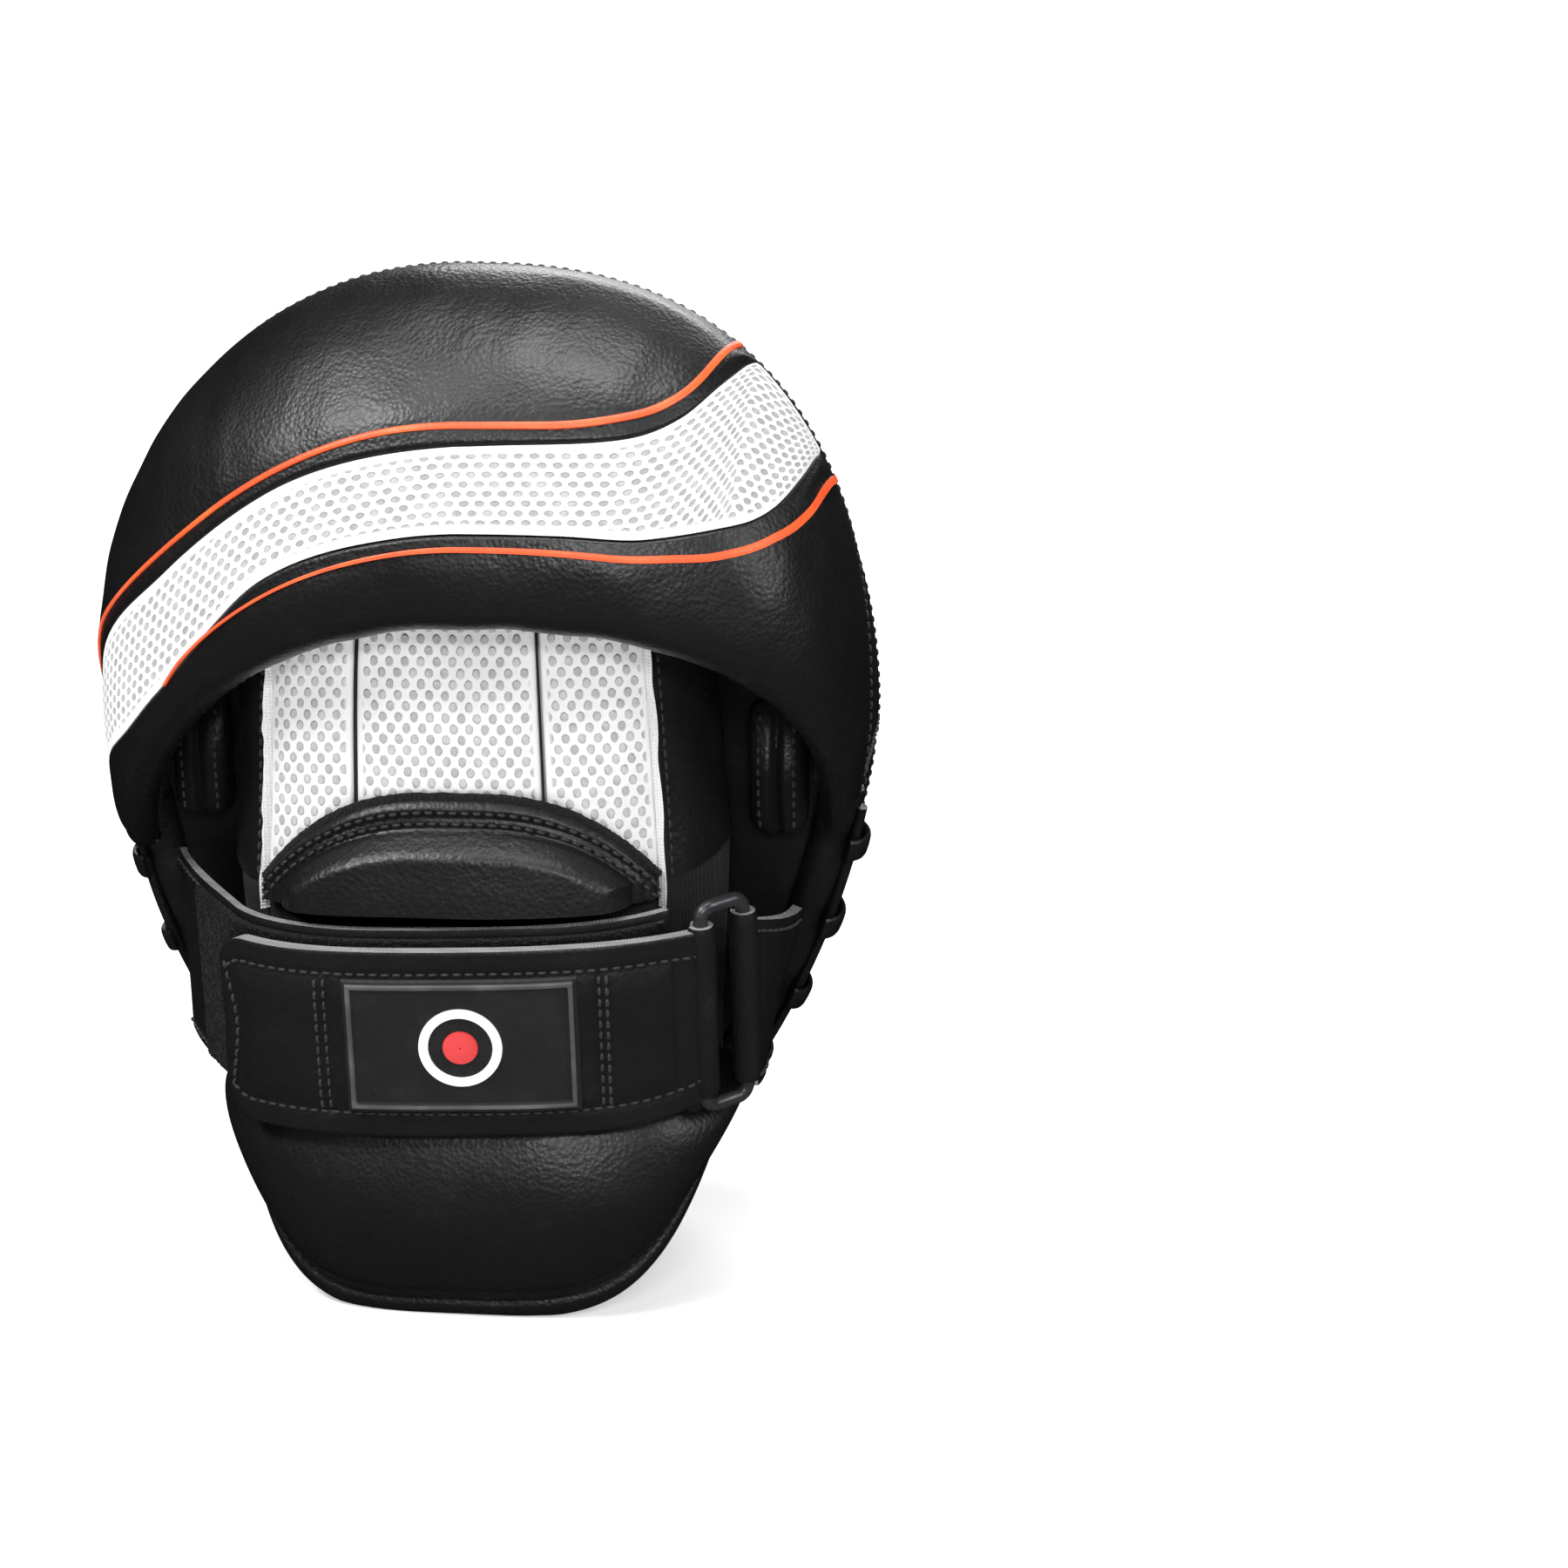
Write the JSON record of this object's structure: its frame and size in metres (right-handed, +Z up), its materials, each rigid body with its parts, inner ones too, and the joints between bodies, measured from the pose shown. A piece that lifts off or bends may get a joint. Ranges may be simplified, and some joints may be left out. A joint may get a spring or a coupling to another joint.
{
  "type": "focus mitt",
  "caption": "Curved oval hand target with a raised padded face, laced edge, finger hood, mesh glove, padded wrist cuff and a hook-and-loop strap that turns back through a ring.",
  "frame": {"origin": "middle of the mitt's box on the ground it stands on", "axes": "+Z up, +Y the way the striking face looks, +X towards the ring's side"},
  "size_m": [0.1958, 0.137, 0.2604],
  "materials": {
    "cover_leather": "black synthetic leather with a fine grain",
    "strap_leather": "smooth black synthetic leather, stitched along its edges",
    "piping_leather": "narrow black binding, satin",
    "foam": "closed-cell foam, hidden under the covers",
    "mesh_fabric": "white air mesh with staggered oval holes",
    "lining_fabric": "dark woven lining",
    "tape_fabric": "black loop and hook pile",
    "orange_print": "thin orange printed layer",
    "white_print": "thin white printed layer",
    "badge_rubber": "moulded black rubber with a raised frame",
    "ring_metal": "black painted wire"
  },
  "bodies": {
    "mitt": {"face_cover": "cover_leather", "target_disc": "orange_print", "target_rings": "white_print", "face_piping": "piping_leather", "impact_foam": "foam", "core_foam": "foam", "back_foam": "foam", "back_panel": "cover_leather", "side_band": "cover_leather", "side_wall": "cover_leather", "edge_roll": "piping_leather", "lace_strand": "piping_leather", "lace_loops": "piping_leather", "hood_crown": "cover_leather", "hood_mesh": "mesh_fabric", "hood_brow": "cover_leather", "hood_pinstripes": "orange_print", "hood_foam": "foam", "hood_lining": "lining_fabric", "hood_binding": "piping_leather", "glove_lining": "lining_fabric", "sleeve_centre": "mesh_fabric", "sleeve_left": "mesh_fabric", "sleeve_right": "mesh_fabric", "sleeve_wall_left": "cover_leather", "sleeve_wall_right": "cover_leather", "side_cushion_left": "cover_leather", "side_cushion_right": "cover_leather", "hand_foam": "foam", "hand_cover": "cover_leather", "cuff_foam": "foam", "cuff_cover": "cover_leather", "cuff_binding": "piping_leather", "under_strap": "strap_leather", "loop_tape": "tape_fabric", "ring_tab": "strap_leather"},
    "ring": {"ring": "ring_metal"},
    "strap": {"closure_strap": "strap_leather", "hook_tape": "tape_fabric", "badge": "badge_rubber", "badge_emblem": "white_print"}
  },
  "joints": [
    {"name": "ring_swing", "type": "hinge", "parent": "mitt", "child": "ring", "pos_m": [0.07048, -0.03392, 0.08311], "axis": [0, -0.165, 0.9863], "range_deg": [0, 30]},
    {"name": "strap_open", "type": "hinge", "parent": "ring", "child": "strap", "pos_m": [0.06128, -0.04232, 0.08123], "axis": [0, -0.165, 0.9863], "range_deg": [0, 140]}
  ]
}
